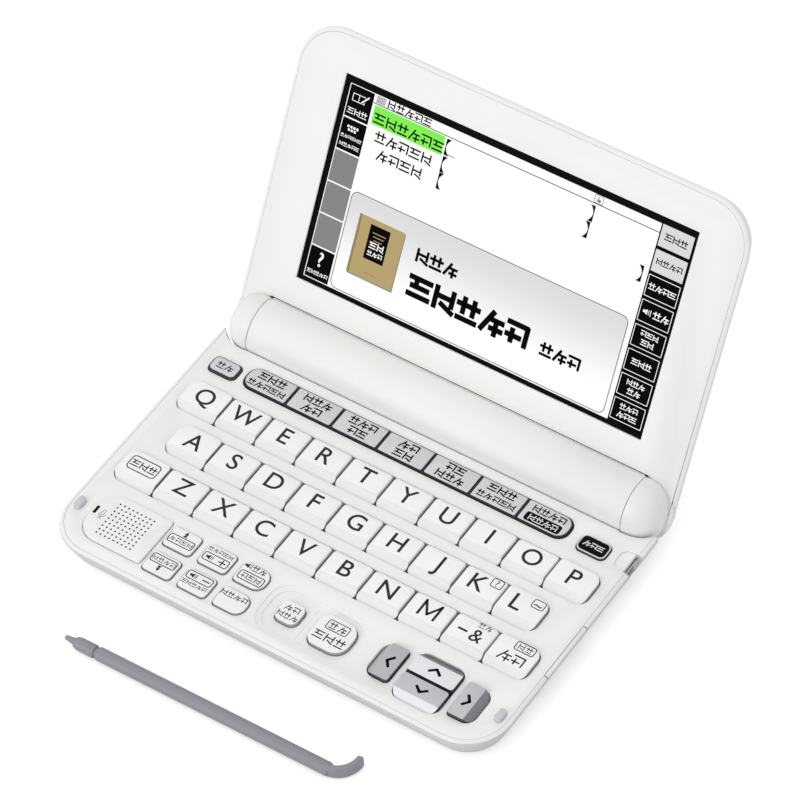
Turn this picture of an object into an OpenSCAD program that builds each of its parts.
// Electronic dictionary: a clamshell with a barrel hinge that holds the batteries, a wide
// display in the lid, a full letter keyboard in the base and a touch pen lying in front.
// X runs to the right, Y from the front to the hinge, Z up from the table. Millimetres.

/* [Body] */
// Width of the base and of the lid
body_w = 148; // [146:1:190]
// Distance from the front edge to the hinge axis
hinge_y = 95; // [94:0.5:125]
// Height of the keyboard deck above the table
deck_z = 9.4; // [9.4:0.1:12]
// Corner radius at the front of the base and at the free end of the lid
corner_r = 14; // [10:0.5:18]
// Height of the rubber feet below the case
foot_h = 0.5; // [0.4:0.1:0.8]
// Thickness of the side walls
wall = 1.8; // [1.5:0.1:2.2]
// Thickness of the case floor
floor_t = 1; // [0.9:0.1:1.2]
// Thickness of the keyboard deck
deck_t = 1.6; // [1.3:0.1:1.9]
// Width of the rim outside the deck and outside the lid's inner face
seam_in = 1.4; // [1.2:0.1:1.8]
// How far the walls lean inwards from their widest line to the underside
wall_lean = 3.2; // [2:0.1:3.8]

/* [Lid] */
// Angle between the closed and the open lid
lid_open = 118.87; // [90:0.01:135]
// Thickness of the lid
lid_t = 6.5; // [6.3:0.1:9]
// Gap between the deck and the closed lid
lid_gap = 1.6; // [1.5:0.1:2.2]
// Height of the closed lid's inner face above the hinge axis
face_rise = 0.8; // [0.5:0.1:1]
// Thickness of the inner face plate
bezel_t = 1.6; // [1.4:0.1:2]
// Thickness of the lid's back wall
back_t = 1.2; // [1:0.1:1.5]
// Thickness of the edge of the inner face around the display
lip_t = 0.8; // [0.6:0.1:1]
// Width of the inner face beside the display
screen_side = 16.05; // [12:0.05:22]
// Shift of the display to the right of the middle
screen_shift = 0.45; // [0:0.05:2]
// Distance from the hinge axis to the display's lower edge
screen_low = 18.35; // [17:0.05:24]
// Distance from the display's upper edge to the lid's free edge
screen_high = 12.2; // [9:0.1:18]
// Thickness of the touch panel
touch_t = 0.9; // [0.7:0.1:1.1]
// Thickness of the display module
lcd_t = 2.8; // [2.2:0.1:2.9]

/* [Hinge] */
// Clearance between the barrel and the table
barrel_clear = 1; // [0.8:0.1:1.3]
// Length of each domed hinge end, from the barrel to the side of the lid
cap_len = 10.9; // [10:0.1:14]
// Distance from the axis to the lid's rear edge beside the barrel
ear = 0.6; // [0.4:0.1:1]
// Gap between the barrel and the parts that turn round it
hinge_gap = 0.3; // [0.3:0.05:0.5]
// Radius of the hinge pins
pin_r = 2.5; // [2:0.1:3]
// Radial clearance of the hinge pins in their bores
pin_fit = 0.05; // [0.02:0.01:0.1]
// Radius of a battery cell
cell_r = 7.05; // [6.9:0.05:7.1]
// Length of a battery cell
cell_len = 50.5; // [49:0.1:51]
// Direction in which the cells leave the barrel, below and behind the axis
cell_out = -64; // [-66:1:-60]
// Depth of the battery cover's upper edge below the axis
cover_drop = 2.05; // [2:0.05:3]

/* [Letter keys] */
// Deck beside the longest key row, on each side
side_land = 5; // [4.5:0.1:8]
// Depth of the front zone with the speaker, soft keys and arrows
front_zone = 25.1; // [24.8:0.1:28]
// Depth of the zone behind the letter rows, with the key strip
strip_zone = 14.8; // [14.8:0.1:18]
// Deck between two key rows
row_land = 4.2; // [3.8:0.1:5]
// Gap between neighbouring keys
key_gap = 0.4; // [0.3:0.05:0.6]
// Gap between a key and the edge of its slot
slot_gap = 0.3; // [0.3:0.05:0.5]
// Height of the key tops above the deck
key_rise = 1; // [0.8:0.1:1.1]
// Travel of the letter keys
key_travel = 1; // [0.8:0.1:1]
// Depth of the sloping front facet of a key
facet_d = 2.6; // [2:0.1:3.2]
// Drop of the sloping front facet
facet_drop = 0.7; // [0.4:0.1:0.8]
// Radius of the outer corners of a key row
row_r = 3; // [2:0.1:4]

/* [Key strip] */
// Width of the strip of dictionary keys
strip_w = 109.2; // [100:0.1:109.8]
// Depth of the strip
strip_d = 8; // [7:0.1:8.4]
// Shift of the strip to the left of the middle
strip_shift = 2.6; // [1:0.1:3]
// Number of keys on the strip
strip_count = 7; // [5:1:9]
// Travel of the strip, power and home keys
strip_travel = 0.6; // [0.4:0.1:0.6]
// Width of the power and home keys
small_w = 9.2; // [7.5:0.1:9.4]
// Depth of the power and home keys
small_d = 5.7; // [4.4:0.1:5.8]

/* [Front controls] */
// Distance from the left side to the speaker pad
pad_left = 8; // [7.8:0.1:12]
// Width of the speaker pad
pad_w = 22.4; // [20:0.1:22.8]
// Depth of the speaker pad
pad_d = 17; // [16:0.1:17.4]
// Distance from the front edge to the middle line of the front controls
front_mid = 13.5; // [13:0.1:14.5]
// Soft key width
soft_w = 9.4; // [8.5:0.1:10]
// Soft key depth
soft_d = 7.2; // [6.5:0.1:7.6]
// Soft key spacing in X
soft_px = 11.95; // [11.7:0.05:12.4]
// Soft key spacing in Y
soft_py = 9.9; // [9.6:0.1:10.6]
// Middle of the thumb well, right of the middle of the base
well_x = 9.15; // [8:0.05:11]
// Width of the thumb well
well_w = 31.6; // [30.6:0.1:32]
// Depth of the thumb well
well_d = 18.2; // [17:0.1:18.6]
// Distance from the right side to the middle of the arrow keys
arrow_in = 26.5; // [25.5:0.1:28]
// Width of the up and down keys
arrow_w = 14.6; // [13.5:0.1:15]
// Depth of the up and down keys
arrow_d = 8; // [7:0.1:8.2]
// Width of the left and right keys
arrow_side_w = 7.6; // [7:0.1:8]
// Height of the left and right keys
arrow_side_d = 11.9; // [11:0.1:12.4]

/* [Card cover] */
// Distance from the front edge to the card slot cover
card_y = 32.5; // [31:0.5:38]
// Length of the card slot cover
card_l = 19.6; // [18:0.1:21]

/* [Pen] */
// Radius of the pen's shaft
pen_r = 2.05; // [1.8:0.05:2.1]
// Length of the pen from its tip to the hook
pen_len = 86; // [80:1:92]
// Distance from the base to the pen lying in front of it
pen_gap = 20.8; // [12:0.1:40]
// Turn of the pen against the front edge
pen_yaw = 0.8; // [0:0.1:3]
// Radius of the hook's outer side
hook_r = 8; // [7:0.1:9]

/* [Hidden] */
// Seating clearance between parts that are fixed to each other
fit = 0.05;

half_w = body_w / 2;
hinge_z = deck_z + lid_gap - face_rise;
barrel_r = hinge_z - barrel_clear;
barrel_half = half_w - cap_len;
deck_back = hinge_y - barrel_r - hinge_gap;
// The base runs on behind the deck, beside and below the hinge
base_back = hinge_y - 4.7;
deck_low = deck_z - deck_t;
floor_top = foot_h + floor_t;
// Height at which the walls are widest
wide_z = deck_z - 1.2;
lean = wall_lean / (wide_z - foot_h - 0.6);

// Letter rows, from the front row to the back row
row_pitch = (deck_back - strip_zone - front_zone) / 3;
key_d = row_pitch - row_land;
key_pitch = (body_w - 2 * side_land) / 10;
key_w = key_pitch - key_gap;
row_y = [for (i = [0:2]) front_zone + (i + 0.5) * row_pitch];
key_top = deck_z + key_rise;
// Retaining flange of the keys, under the deck
flange_gap = 0.25;
flange_t = 0.8;
flange_lap = 0.7;
flange_z = deck_low - flange_gap - flange_t;
key_low = flange_z;
strip_flange_t = 0.5;
strip_low = deck_low - flange_gap - strip_flange_t;

// Strip, power and home keys
strip_y = deck_back - 7.6;
small_y = deck_back - 8.9;
strip_pitch = strip_w / strip_count;
power_x = -half_w + 10;
home_x = half_w - 13.4;

// Front controls
pad_x = -half_w + pad_left + pad_w / 2;
sound_x = pad_x + 0.55;
pad_y = front_mid + 0.65;
soft_x = [for (i = [0:2]) pad_x + pad_w / 2 + 5.9 + i * soft_px];
arrow_x = half_w - arrow_in;
back_key_x = well_x - 7.2;
enter_key_x = well_x + 7.1;
arrow_side_x = arrow_w / 2 + 2.4 + arrow_side_w / 2;
bumper_x = half_w - 3.85;
bumper_y = front_mid + 0.95;

// Boards: standoffs, circuit board and rubber sheet
board_z = floor_top + 1.4;
board_t = 0.8;
sheet_z = board_z + board_t;
sheet_t = 0.5;
dome_top = key_low - key_travel - 0.35;
board_x = half_w - (wide_z - board_z) * lean - wall - 0.6;
board_back = deck_back - 12.6;

// Pen bay: two rails on the floor behind the boards, open to the right side
pen_y = deck_back - 8.65;
pen_room = 0.4;
rail_t = 1;
rail_top = strip_low - strip_travel - 0.6;
bay_half = pen_r + pen_room;
bay_end = half_w - 98;
scoop_r = 3.6;

// Earphone socket
jack_y = (row_y[0] + row_y[1]) / 2;
jack_z = floor_top + 1.95;
jack_r = 1.75;
jack_x = board_x - 0.1;
jack_l = 13;

// Card cover: its pivot runs along Y inside the right wall
card_px = half_w - wall_lean - 0.8;
card_pz = floor_top + 1.9;
card_pin_r = 0.7;

// Screws
screws = [for (s = [-1, 1]) for (p = [[half_w - 6.8, front_mid + 9.9], [half_w - 6.8, row_y[1] + 6.05],
    [barrel_half - 2.9, deck_back - 2.6]]) [s * p[0], p[1]]];

// Lid, in its own frame: closed, hinge axis along X through the origin
screen_w = body_w - 2 * screen_side;
screen_l = hinge_y - screen_low - screen_high;
screen_y = -(screen_low + screen_l / 2);
lid_levels = [[0, seam_in], [0.15, 0.8], [0.5, 0.25], [1.2, 0], [lid_t - 0.9, (lid_t - 2.1) * lean],
    [lid_t - 0.25, (lid_t - 2.1) * lean + 1.3], [lid_t, (lid_t - 2.1) * lean + 22]];
lid_reach = max([for (l = lid_levels) -(hinge_y - l[1]) * cos(lid_open)
    + (face_rise + l[0]) * sin(lid_open)]);
dome_start = barrel_half + hinge_gap;
dome_len = half_w - 0.1 - dome_start;
dome_r = barrel_r + 0.25;
// The front of a domed end stands back from its rim, and its core lies inside the lid
front_len = dome_len - 1.3;
front_r = dome_r - 0.15;
core_len = dome_len - 1.9;
core_r = dome_r - 1.5;
pin_out = half_w - 4;

// Pen, and the middle of the whole object in Y
pen_start = -49.8;
collar_s = 3.4;
groove_s = 10.4;
body_s = 10.9;
pen_front = -pen_gap + min((pen_start + body_s) * sin(pen_yaw) - pen_r * cos(pen_yaw),
    (pen_start + collar_s + 1.6) * sin(pen_yaw) - (pen_r - 0.05) * cos(pen_yaw));
mid_y = (hinge_y + lid_reach + pen_front) / 2;

// Points along an arc
function arc(cx, cy, r, from, to, n = 8) =
    [for (i = [0:n]) [cx + r * cos(from + (to - from) * i / n), cy + r * sin(from + (to - from) * i / n)]];

// Outline that is straight-sided, with one radius at its front and one at its back
function plan(hw, y0, y1, rf, rb) = concat(
    arc(hw - rf, y0 + rf, rf, -90, 0), arc(hw - rb, y1 - rb, rb, 0, 90, 4),
    arc(-hw + rb, y1 - rb, rb, 90, 180, 4), arc(-hw + rf, y0 + rf, rf, 180, 270));

// Outline of a key, centred, with its own radius on the left and on the right
function key_plan(w, d, rl, rr) = concat(
    arc(w / 2 - rr, -d / 2 + rr, rr, -90, 0, 5), arc(w / 2 - rr, d / 2 - rr, rr, 0, 90, 5),
    arc(-w / 2 + rl, d / 2 - rl, rl, 90, 180, 5), arc(-w / 2 + rl, -d / 2 + rl, rl, 180, 270, 5));

// Outlines of the base and of the lid, and the same drawn in by a distance
base = [half_w, 0, base_back, corner_r, 2];
hollow = [half_w, 0, deck_back, corner_r, 2];
lid = [half_w, -hinge_y, ear, corner_r, 2];
function inset(p, d) = plan(p[0] - d, p[1] + d, p[2] - d, max(p[3] - d, 0.6), max(p[4] - d, 0.6));

base_levels = [[foot_h, wall_lean + 1.2], [foot_h + 0.6, wall_lean], [wide_z, 0], [deck_z - 0.5, 0.25],
    [deck_z - 0.15, 0.8], [deck_z, seam_in]];

module placed() translate([0, -mid_y, 0]) children();

module on_lid() placed() translate([0, hinge_y, hinge_z]) rotate([-lid_open, 0, 0]) children();

module both_sides() {
    children();
    mirror([1, 0, 0]) children();
}

// Loft through copies of an outline, each at its height and inset
module loft(levels, outline) {
    n = len(inset(outline, 0));
    last = len(levels) - 1;
    polyhedron([for (l = levels) for (q = inset(outline, l[1])) [q[0], q[1], l[0]]],
        concat([[for (i = [0:n - 1]) i]], [[for (i = [n - 1:-1:0]) last * n + i]],
            [for (j = [0:last - 1]) for (i = [0:n - 1]) [j * n + i, j * n + n + i, j * n + n + (i + 1) % n]],
            [for (j = [0:last - 1]) for (i = [0:n - 1]) [j * n + i, j * n + n + (i + 1) % n, j * n + (i + 1) % n]]));
}

// Prism with a profile in Y and Z, centred on X
module bar(w, profile) translate([-w / 2, 0, 0]) rotate([90, 0, 90]) linear_extrude(w) polygon(profile);

// Cylinder along X between two places
module x_rod(x0, x1, r, sides = 64) translate([x0, 0, 0]) rotate([0, 90, 0])
    cylinder(r = r, h = x1 - x0, $fn = sides);

module hinge_line() translate([0, hinge_y, hinge_z]) children();

// Way out for the cells: a straight slot down and back, open towards the rear below its upper edge
module cell_way(grow, half) bar(2 * half, concat(
    [for (p = [[3 * barrel_r, -cell_r - grow], [0, -cell_r - grow], [0, cell_r + grow]])
        [p[0] * cos(cell_out) - p[1] * sin(cell_out), p[0] * sin(cell_out) + p[1] * cos(cell_out)]],
    [[-(cell_r + grow) / sin(cell_out) - (grow - cover_drop - 0.1) / tan(-cell_out), grow - cover_drop - 0.1],
        [3 * barrel_r, grow - cover_drop - 0.1], [3 * barrel_r, -3 * barrel_r]]));

module case_shell() difference() {
    loft(base_levels, base);
    loft([[floor_top, wall_lean - (floor_top - foot_h - 0.6) * lean + wall],
        [deck_low + 0.01, wall + (wide_z - deck_low) * lean]], hollow);
    translate([0, 0, deck_low]) linear_extrude(deck_t + 1) deck_plan(seam_in, hinge_y);
    hinge_line() {
        x_rod(-dome_start, dome_start, barrel_r + hinge_gap, 96);
        both_sides() dome(dome_r + hinge_gap, dome_len + hinge_gap);
    }
}

// Outline inside the rim, with the back edge at the given place
module deck_plan(d, back) polygon(plan(half_w - d, d, back, corner_r - d, 0.4));

// Finger notch at the mouth of the pen bay
module scoop(deep = 0) translate([half_w - 2.1 - deep, pen_y + 0.5, deck_z - 2]) {
    rotate([0, 90, 0]) cylinder(r = scoop_r, h = 6, $fn = 48);
    translate([0, -scoop_r, 0]) cube([6, 2 * scoop_r, 6]);
}

module foot_places() both_sides() {
    translate([half_w - 16, 10]) circle(r = 4, $fn = 32);
    translate([barrel_half - 15, deck_back - 2.9]) polygon(key_plan(16, 4.4, 2.1, 2.1));
}

module card_space(grow, z0) translate([card_px - 2, card_y - grow, z0])
    cube([8, card_l + 2 * grow, deck_z]);

module lower_case() color("#E9E9E6") placed() difference() {
    union() {
        difference() {
            case_shell();
            translate([-barrel_half + 1.5, deck_back - 6, floor_top + 3.4]) cube([2 * barrel_half - 3, 9, deck_low]);
        }
        for (s = screws) translate([s[0], s[1], foot_h + 0.3]) cylinder(r = 2.2, h = deck_low - foot_h - 0.3, $fn = 48);
        for (x = [-0.62, 0, 0.62]) for (y = [0.12, 0.5, 0.93])
            translate([x * board_x, y * board_back, foot_h + 0.3]) cylinder(r = 1.5, h = board_z - foot_h - 0.3, $fn = 32);
        for (y = [pen_y - bay_half - rail_t, pen_y + bay_half])
            translate([power_x - 2, y, foot_h + 0.3]) cube([2 * half_w - 18, rail_t, rail_top - foot_h - 0.3]);
        translate([bay_end - 2, pen_y - bay_half - rail_t, foot_h + 0.3]) cube([2, 2 * bay_half + 2 * rail_t, 3]);
        for (y = [card_y - 2.2, card_y + card_l + 0.4])
            translate([card_px - 1.6, y, foot_h + 0.3]) cube([2.6, 1.8, card_pz - foot_h + 0.8]);
    }
    for (s = screws) translate([s[0], s[1], 0]) {
        cylinder(r = 1.75, h = foot_h + 1.2, $fn = 48);
        cylinder(r = 0.95, h = deck_z, $fn = 32);
    }
    linear_extrude(foot_h + 0.45) offset(delta = fit) foot_places();
    card_space(0.3, floor_top + 0.8);
    translate([card_px, card_y - 0.3, card_pz]) rotate([-90, 0, 0]) cylinder(r = 2.1, h = card_l + 0.6, $fn = 48);
    translate([card_px, card_y - 1.6, card_pz]) rotate([-90, 0, 0])
        cylinder(r = card_pin_r + pin_fit, h = card_l + 3.2, $fn = 32);
    translate([half_w - 8, pen_y - bay_half, floor_top]) cube([12, 2 * bay_half, 2 * bay_half]);
    scoop();
    translate([-half_w - 1, jack_y, jack_z]) rotate([0, 90, 0]) cylinder(r = 2.7, h = half_w - jack_x + 1.1, $fn = 48);
}

// Openings of the deck, one for each key or row of keys
module row_slots() {
    for (i = [0, 2]) translate([0, row_y[i]]) polygon(key_plan(10 * key_pitch - key_gap, key_d, row_r, row_r));
    translate([0, row_y[1]]) polygon(key_plan(9 * key_pitch - key_gap, key_d, row_r, row_r));
    translate([-strip_shift, strip_y]) polygon(key_plan(strip_w, strip_d, 3.3, 3.3));
    translate([power_x, small_y]) polygon(key_plan(small_w, small_d, 1.6, 1.6));
    translate([home_x, small_y]) polygon(key_plan(small_w, small_d, 1.6, 1.6));
    for (i = [0:2]) for (j = [-1, 1])
        translate([soft_x[i], front_mid - 0.15 + j * soft_py / 2]) polygon(soft_plan(i, j));
    translate([back_key_x, front_mid]) polygon(key_plan(7.3, 7.2, 2.2, 2.2));
    translate([enter_key_x, front_mid]) polygon(key_plan(12.2, 11.2, 3, 4.2));
    translate([arrow_x, front_mid]) polygon(key_plan(arrow_w, 2 * arrow_d + 1, 3, 3));
    for (s = [-1, 1]) translate([arrow_x + s * arrow_side_x, front_mid])
        polygon(key_plan(arrow_side_w, arrow_side_d, s < 0 ? 3 : 1, s < 0 ? 1 : 3));
}

// The outer column of soft keys is rounded on its right
function soft_plan(i, j) = key_plan(soft_w, soft_d, 1.2, i == 2 ? 3 : 1.2);

// The deck's back edge: straight along the barrel and curved round the domed ends
module hinge_shade() translate([0, hinge_y]) {
    square([2 * dome_start, 2 * (barrel_r + hinge_gap)], center = true);
    both_sides() polygon([for (i = [0:10]) let (x = dome_len * i / 10)
        [dome_start + x - 0.01, -dome_at(x, dome_r, dome_len) - hinge_gap],
        [dome_start + dome_len, 5], [dome_start - 0.01, 5]]);
}

module upper_case() color("#F6F6F4") placed() difference() {
    translate([0, 0, deck_low]) linear_extrude(deck_t) difference() {
        deck_plan(seam_in + fit, base_back - 0.6);
        hinge_shade();
        offset(delta = slot_gap) row_slots();
        translate([sound_x, pad_y]) square([14, 13], center = true);
    }
    translate([pad_x, pad_y, deck_z - 1.2]) linear_extrude(2) polygon(key_plan(pad_w + 0.7, pad_d + 0.7, 6.8, 1.3));
    translate([well_x, front_mid, deck_z - 0.35]) linear_extrude(2) polygon(key_plan(well_w, well_d, 6.4, 6.4));
    translate([well_x, front_mid, deck_z - 0.75]) linear_extrude(2)
        polygon(key_plan(well_w - 3.2, well_d - 3.2, 5, 5));
    translate([well_x - 1.45, front_mid - 6, deck_z - 1]) cube([0.35, 12, 2]);
    scoop(0.2);
    translate([half_w - 3.4, pen_y + 0.5, deck_z - 0.35]) linear_extrude(2) polygon(key_plan(5.4, 7, 2.5, 2.5));
    for (s = [-1, 1]) translate([s * bumper_x, bumper_y, deck_z - 0.6]) linear_extrude(2)
        polygon(key_plan(2.3, 4.3, 1, 1));
    for (s = screws) translate([s[0], s[1], deck_low - 1]) cylinder(r = 0.85, h = 2.1, $fn = 12);
}

// Raised pad with a square field of sound holes and the microphone slot
module speaker_grille() color("#F8F8F6") placed() translate([pad_x, pad_y, 0]) difference() {
    translate([0, 0, deck_z - 1.2]) linear_extrude(1.7) polygon(key_plan(pad_w, pad_d, 6.5, 1));
    translate([sound_x - pad_x, 0, deck_z - 2]) linear_extrude(1.7) square([13, 13], center = true);
    for (i = [-4:4]) for (j = [-4:4]) translate([sound_x - pad_x + i * 1.45, j * 1.45, deck_z - 1])
        cylinder(r = 0.32, h = 3, $fn = 6);
    translate([-pad_w / 2 + 0.7, -0.6, deck_z - 0.2]) cube([0.9, 2.8, 2]);
}

module hinge_barrel() color("#EFEFED") placed() difference() {
    union() {
        hinge_line() x_rod(-barrel_half, barrel_half, barrel_r, 96);
        translate([0, deck_back, 0]) bar(2 * barrel_half - 12,
            [[-2.2, floor_top + 3.6], [2.4, floor_top + 3.6], [2.4, deck_low - 0.1], [-2.2, deck_low - 0.1]]);
    }
    hinge_line() {
        x_rod(-cell_len - 4, cell_len + 4, cell_r + 0.4, 96);
        cell_way(0.3, cell_len + 3.5);
        both_sides() {
            x_rod(cell_len + 5.6, cell_len + 10.6, pin_r + 1.5 + pin_fit, 64);
            x_rod(cell_len + 5.6, half_w, pin_r + pin_fit, 64);
        }
    }
}

module battery_cover() color("#ECECEA") placed() hinge_line() intersection() {
    difference() {
        x_rod(-cell_len - 3.2, cell_len + 3.2, barrel_r, 96);
        x_rod(-cell_len - 4, cell_len + 4, barrel_r - 0.85, 96);
    }
    cell_way(-0.1, cell_len + 3.2);
}

module battery_cells() color("#3F6F5A") placed() hinge_line() for (i = [-1, 0])
    translate([i * cell_len, 0, 0]) {
        x_rod(0.1, cell_len - 1.4, cell_r, 64);
        x_rod(cell_len - 1.5, cell_len, 2.7, 32);
    }

module battery_contacts() color("#C8C8C8") placed() hinge_line() for (s = [-1, 1]) mirror([s < 0 ? 1 : 0, 0, 0]) {
    x_rod(cell_len + 3.4, cell_len + 4, cell_r - 0.6, 48);
    x_rod(cell_len + 0.1, cell_len + 3.5, s < 0 ? 3.4 : 2, 32);
}

module hinge_pins() color("#B8BABD") placed() hinge_line() both_sides() {
    x_rod(cell_len + 5.7, cell_len + 10.5, pin_r + 1.5, 64);
    x_rod(cell_len + 5.7, pin_out, pin_r, 64);
}

// Circuit board with its sockets, and the second board under the strip keys
module main_board() color("#2E6B46") placed() difference() {
    union() {
        translate([0, 0, board_z]) linear_extrude(board_t) board_plan();
        translate([-jack_x, jack_y - 3.2, floor_top]) cube([jack_l, 6.4, jack_z + jack_r + 0.25 - floor_top]);
        translate([card_px - 18, card_y + 3.2, board_z - 1.3]) cube([15, 13.2, 1.4]);
        translate([12, row_y[0] - 6, board_z - 1.2]) cube([16, 16, 1.3]);
        translate([power_x - 1, pen_y - bay_half - 0.8, rail_top]) cube([2 * half_w - 22, 2 * bay_half + 1.6, 0.25]);
    }
    translate([-jack_x - 1, jack_y, jack_z]) rotate([0, 90, 0]) cylinder(r = jack_r, h = jack_l + 0.2, $fn = 48);
    translate([card_px - 14, card_y + 4.2, board_z - 0.95]) cube([12, 11.2, 0.8]);
}

module board_plan() difference() {
    polygon(plan(board_x, 5.4, board_back, corner_r - 4, 3));
    translate([sound_x, pad_y]) circle(r = 8.8, $fn = 12);
    translate([-half_w, jack_y - 3.6]) square([half_w - jack_x + jack_l - 0.4, 7.2]);
    translate([card_px - 3, card_y - 3.4]) square([10, card_l + 6.8]);
    for (s = screws) translate(s) {
        circle(r = 2.6, $fn = 12);
        translate([s[0] > 0 ? 0 : -9, -2.6]) square([9, 5.2]);
    }
}

module key_sheet() color("#C9CBD0") placed() {
    translate([0, 0, sheet_z]) linear_extrude(sheet_t) offset(delta = -0.4) board_plan();
    for (p = dome_places()) translate([p[0], p[1], sheet_z]) {
        cylinder(r = 3, h = (dome_top - sheet_z) * 0.6, $fn = 12);
        cylinder(r = 1.8, h = dome_top - sheet_z, $fn = 12);
    }
}

function dome_places() = concat(
    [for (i = [-4.5:4.5]) for (r = [0, 2]) [i * key_pitch, row_y[r]]],
    [for (i = [-4:4]) [i * key_pitch, row_y[1]]],
    [for (x = soft_x) for (j = [-1, 1]) [x, front_mid - 0.15 + j * soft_py / 2]],
    [[back_key_x, front_mid], [enter_key_x, front_mid]],
    [for (s = [-1, 1]) [arrow_x + s * arrow_side_x, front_mid]],
    [for (s = [-1, 1]) [arrow_x, front_mid + s * (arrow_d / 2 + 0.5)]]);

module speaker() color("#55585C") placed() translate([sound_x, pad_y, floor_top]) {
    cylinder(r = 5.2, h = 3.2, $fn = 48);
    translate([0, 0, 3]) cylinder(r1 = 7.2, r2 = 8.2, h = 1.4, $fn = 48);
    translate([0, 0, 4.4]) cylinder(r = 8.2, h = 0.7, $fn = 48);
}

module rubber_pads() color("#A9ABB0") placed() {
    linear_extrude(foot_h + 0.4) foot_places();
    for (s = [-1, 1]) translate([s * bumper_x, bumper_y, deck_z - 0.6]) linear_extrude(1.9)
        polygon(key_plan(2.2, 4.2, 0.9, 0.9));
}

module case_screws() color("#9B9DA0") placed() for (s = screws) translate([s[0], s[1], foot_h + 0.2]) {
    cylinder(r = 1.6, h = 1, $fn = 32);
    cylinder(r = 0.75, h = deck_low + 0.9 - foot_h - 0.2, $fn = 24);
}

// A slice of the case wall that turns outwards on its pivot
module card_cover() color("#F2F2F0") placed() {
    difference() {
        intersection() {
            case_shell();
            card_space(0, floor_top + 0.8);
        }
        translate([0, 0, deck_low - 0.25]) linear_extrude(deck_t + 1) polygon(inset(base, seam_in - 0.15));
    }
    translate([card_px, card_y - 1.4, card_pz]) rotate([-90, 0, 0]) cylinder(r = card_pin_r, h = card_l + 2.8, $fn = 32);
}

// Radius of a domed hinge end at a distance from the barrel
function dome_at(x, r, l) = r * pow(max(1 - pow(x / l, 2.5), 0), 0.4);

module dome(r, l) translate([dome_start, 0, 0]) rotate([0, 90, 0]) rotate_extrude($fn = 96)
    polygon(concat([[0, 0], [r, 0]], [for (i = [1:11]) let (x = l * sin(i * 90 / 12)) [dome_at(x, r, l), x]], [[0, l]]));

// Everything in front of the lid's parting face, on the right
module before_face(drop) translate([0, -half_w, face_rise - drop - body_w]) cube(body_w);

module lid_back_cover() color("#ECECEA") on_lid() difference() {
    union() {
        difference() {
            translate([0, 0, face_rise]) loft(lid_levels, lid);
            loft([[face_rise + bezel_t - 0.01, 2.2], [face_rise + lid_t - back_t, 3.6]],
                [half_w, -hinge_y, -barrel_r - 0.5, corner_r, 5]);
        }
        both_sides() difference() {
            dome(dome_r, dome_len);
            before_face(-0.02);
        }
    }
    translate([0, 0, face_rise - 1]) linear_extrude(1 + bezel_t) polygon(inset(lid, seam_in));
    x_rod(-dome_start, dome_start, barrel_r + hinge_gap, 96);
    both_sides() dome(core_r + fit, core_len + fit);
}

module lid_bezel() color("#F6F6F4") on_lid() difference() {
    union() {
        difference() {
            translate([0, 0, face_rise]) linear_extrude(bezel_t) polygon(inset(lid, seam_in + fit));
            translate([screen_shift, screen_y, face_rise + lip_t + 2]) cube([screen_w + 5, screen_l + 5, 4], center = true);
            translate([screen_shift, screen_y, 0]) cube([screen_w, screen_l, 20], center = true);
            x_rod(-dome_start, dome_start, barrel_r + hinge_gap, 96);
        }
        both_sides() {
            dome(core_r, core_len);
            intersection() {
                dome(front_r, front_len);
                before_face(fit);
            }
        }
    }
    both_sides() x_rod(dome_start - 1, pin_out + 0.3, pin_r + pin_fit, 64);
}

module touch_panel() color("#101214") on_lid()
    translate([screen_shift, screen_y, face_rise + lip_t + touch_t / 2]) cube([screen_w + 4.6, screen_l + 4.6, touch_t], center = true);

module lcd_panel() color("#D8E8D0") on_lid()
    translate([screen_shift, screen_y, face_rise + lip_t + touch_t + lcd_t / 2]) cube([screen_w + 2, screen_l + 1, lcd_t], center = true);

// Touch pen: tip, collar, groove and shaft as one turned profile, and the curved hook
module stylus() color("#85858E") placed() translate([0, -pen_gap, pen_r]) rotate([0, 0, pen_yaw]) {
    translate([pen_start, 0, 0]) rotate([0, 90, 0]) rotate_extrude($fn = 48) polygon([[0, 0], [0.5, 0],
        [0.75, 0.3], [1.1, collar_s], [1.6, collar_s], [pen_r - 0.05, collar_s + 1.6], [pen_r - 0.05, groove_s],
        [1.5, groove_s], [1.5, body_s], [pen_r, body_s], [pen_r, pen_len + 1.5], [0, pen_len + 1.5]]);
    translate([pen_start + pen_len, hook_r - pen_r + 0.55, -pen_r]) linear_extrude(2 * pen_r)
        polygon(concat(arc(0, 0, hook_r, -97, 6, 12), arc(0, 0, hook_r - 2.1, 6, -97, 12)));
}

// Letter key: a sloping front facet, a small chamfer behind, and flanges under the deck
module key_profile(w, d, top, facet, drop, low) bar(w, [[-d / 2, low], [-d / 2, top - drop],
    [-d / 2 + facet, top], [d / 2 - 0.3, top], [d / 2, top - 0.3], [d / 2, low]]);

module letter_key(row, col, count) translate([(col - (count - 1) / 2) * key_pitch, row_y[row], 0]) {
    intersection() {
        key_profile(key_w, key_d, key_top, facet_d, facet_drop, key_low);
        linear_extrude(2 * key_top) polygon(key_plan(key_w, key_d,
            col == 0 ? row_r : 0.5, col == count - 1 ? row_r : 0.5));
    }
    flange(key_w - 2 * row_r, key_d);
}

// Bar under the deck that holds a key in: it reaches past the slot in front and behind
module flange(w, d, low = flange_z, thick = flange_t) translate([0, 0, low + thick / 2])
    cube([w, d + 2 * (slot_gap + flange_lap), thick], center = true);

// Flat soft key with a bevelled edge
module soft_cap(outline, top, low = key_low) {
    translate([0, 0, low]) linear_extrude(top - 0.3 - low) polygon(outline);
    translate([0, 0, top - 0.31]) linear_extrude(0.31) offset(delta = -0.3) polygon(outline);
}

module white_key(row, col, count) color("#F4F4F2") placed() letter_key(row, col, count);

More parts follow.
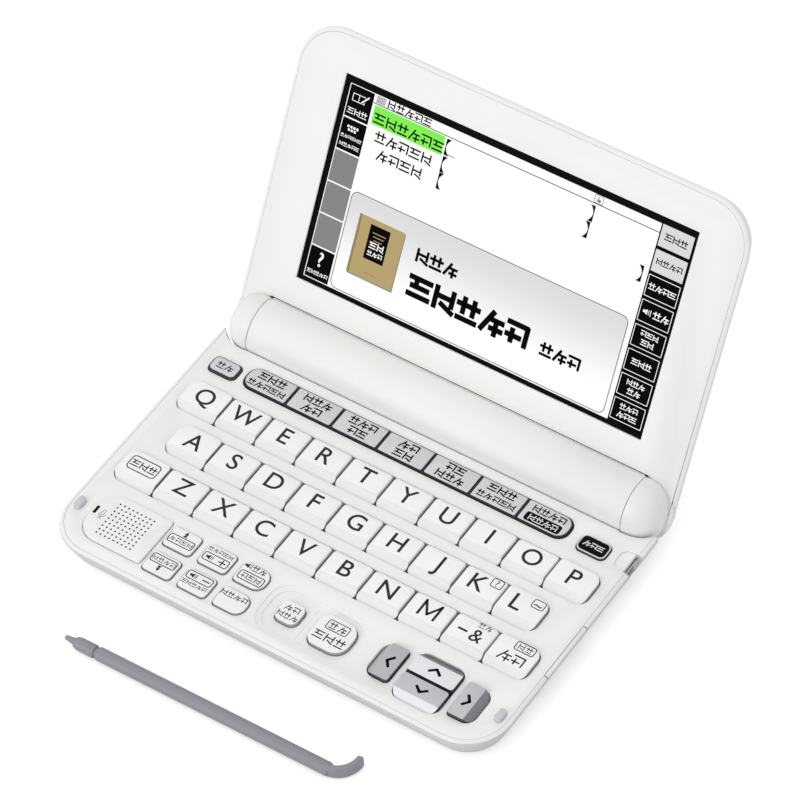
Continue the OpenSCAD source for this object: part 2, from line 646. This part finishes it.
module soft_pair(i) color("#F4F4F2") placed() for (j = [-1, 1])
    translate([soft_x[i], front_mid - 0.15 + j * soft_py / 2, 0]) {
        soft_cap(soft_plan(i, j), deck_z + 0.6);
        translate([0, -j * (soft_py - soft_d) / 4, flange_z + flange_t / 2])
            cube([soft_w - 2, soft_d + (soft_py - soft_d) / 2 + 1, flange_t], center = true);
    }

module function_keys() color("#B9BBC4") placed() translate([-strip_shift, strip_y, 0]) {
    translate([0, 0, strip_low]) linear_extrude(deck_z + 0.4 - strip_low) polygon(key_plan(strip_w, strip_d, 3.3, 3.3));
    for (i = [0:strip_count - 1]) intersection() {
        translate([(i - (strip_count - 1) / 2) * strip_pitch, 0, deck_z]) cube([strip_pitch - 0.6, strip_d, 2 * (key_rise - 0.1)], center = true);
        translate([0, 0, deck_z]) linear_extrude(key_rise) offset(delta = -0.25) polygon(key_plan(strip_w, strip_d, 3.3, 3.3));
    }
    flange(strip_w - 10, strip_d, strip_low, strip_flange_t);
}

module small_key(x) translate([x, small_y, 0]) {
    soft_cap(key_plan(small_w, small_d, 1.6, 1.6), deck_z + 0.9, strip_low);
    flange(small_w - 3, small_d, strip_low, strip_flange_t);
}

module power_key() color("#C4C5CC") placed() small_key(power_x);

module home_key() color("#2A2A2C") placed() small_key(home_x);

module back_key() color("#F4F4F2") placed() translate([back_key_x, front_mid, 0]) {
    soft_cap(key_plan(7.3, 7.2, 2.2, 2.2), deck_z + 0.4);
    flange(4, 7.2);
}

module enter_key() color("#F4F4F2") placed() translate([enter_key_x, front_mid, 0]) {
    soft_cap(key_plan(12.2, 11.2, 3, 4.2), deck_z + 0.4);
    flange(5, 11.2);
}

// Arrow key with its sloping facet on the side that it points to
module arrow_key(w, d, turn, flange_size) {
    rotate([0, 0, turn]) intersection() {
        key_profile(w, d, deck_z + 1.2, 2, 0.9, key_low);
        linear_extrude(2 * key_top) polygon(concat(arc(w / 2 - 3, -d / 2 + 3, 3, -90, 0, 5),
            arc(w / 2 - 0.8, d / 2 - 0.8, 0.8, 0, 90, 3), arc(-w / 2 + 0.8, d / 2 - 0.8, 0.8, 90, 180, 3),
            arc(-w / 2 + 3, -d / 2 + 3, 3, 180, 270, 5)));
    }
    translate([0, 0, flange_z + flange_t / 2]) cube([flange_size[0], flange_size[1], flange_t], center = true);
}

module arrow_side(s) color("#B4B5BD") placed() translate([arrow_x + s * arrow_side_x, front_mid, 0])
    arrow_key(arrow_side_d, arrow_side_w, s * 90, [4, arrow_side_d + 2 * (slot_gap + flange_lap)]);

module arrow_ahead(s, shade) color(shade) placed() translate([arrow_x, front_mid + s * (arrow_d / 2 + 0.5), 0])
    arrow_key(arrow_w, arrow_d, s > 0 ? 180 : 0, [arrow_w + 2 * (slot_gap + flange_lap) - 0.6, 3]);

lower_case();
upper_case();
speaker_grille();
hinge_barrel();
battery_cover();
battery_cells();
battery_contacts();
main_board();
key_sheet();
speaker();
rubber_pads();
case_screws();
card_cover();
lid_back_cover();
lid_bezel();
touch_panel();
lcd_panel();
hinge_pins();
stylus();
white_key(2, 0, 10);  // key_q
white_key(2, 1, 10);  // key_w
white_key(2, 2, 10);  // key_e
white_key(2, 3, 10);  // key_r
white_key(2, 4, 10);  // key_t
white_key(2, 5, 10);  // key_y
white_key(2, 6, 10);  // key_u
white_key(2, 7, 10);  // key_i
white_key(2, 8, 10);  // key_o
white_key(2, 9, 10);  // key_p
white_key(1, 0, 9);  // key_a
white_key(1, 1, 9);  // key_s
white_key(1, 2, 9);  // key_d
white_key(1, 3, 9);  // key_f
white_key(1, 4, 9);  // key_g
white_key(1, 5, 9);  // key_h
white_key(1, 6, 9);  // key_j
white_key(1, 7, 9);  // key_k
white_key(1, 8, 9);  // key_l
white_key(0, 0, 10);  // key_shift
white_key(0, 1, 10);  // key_z
white_key(0, 2, 10);  // key_x
white_key(0, 3, 10);  // key_c
white_key(0, 4, 10);  // key_v
white_key(0, 5, 10);  // key_b
white_key(0, 6, 10);  // key_n
white_key(0, 7, 10);  // key_m
white_key(0, 8, 10);  // key_hyphen
white_key(0, 9, 10);  // key_delete
function_keys();
power_key();
home_key();
soft_pair(0);  // page_keys
soft_pair(1);  // volume_keys
soft_pair(2);  // guide_keys
back_key();
enter_key();
arrow_side(-1);  // arrow_left
arrow_side(1);  // arrow_right
arrow_ahead(1, "#D9DAE0");  // arrow_up
arrow_ahead(-1, "#B9BAC2");  // arrow_down
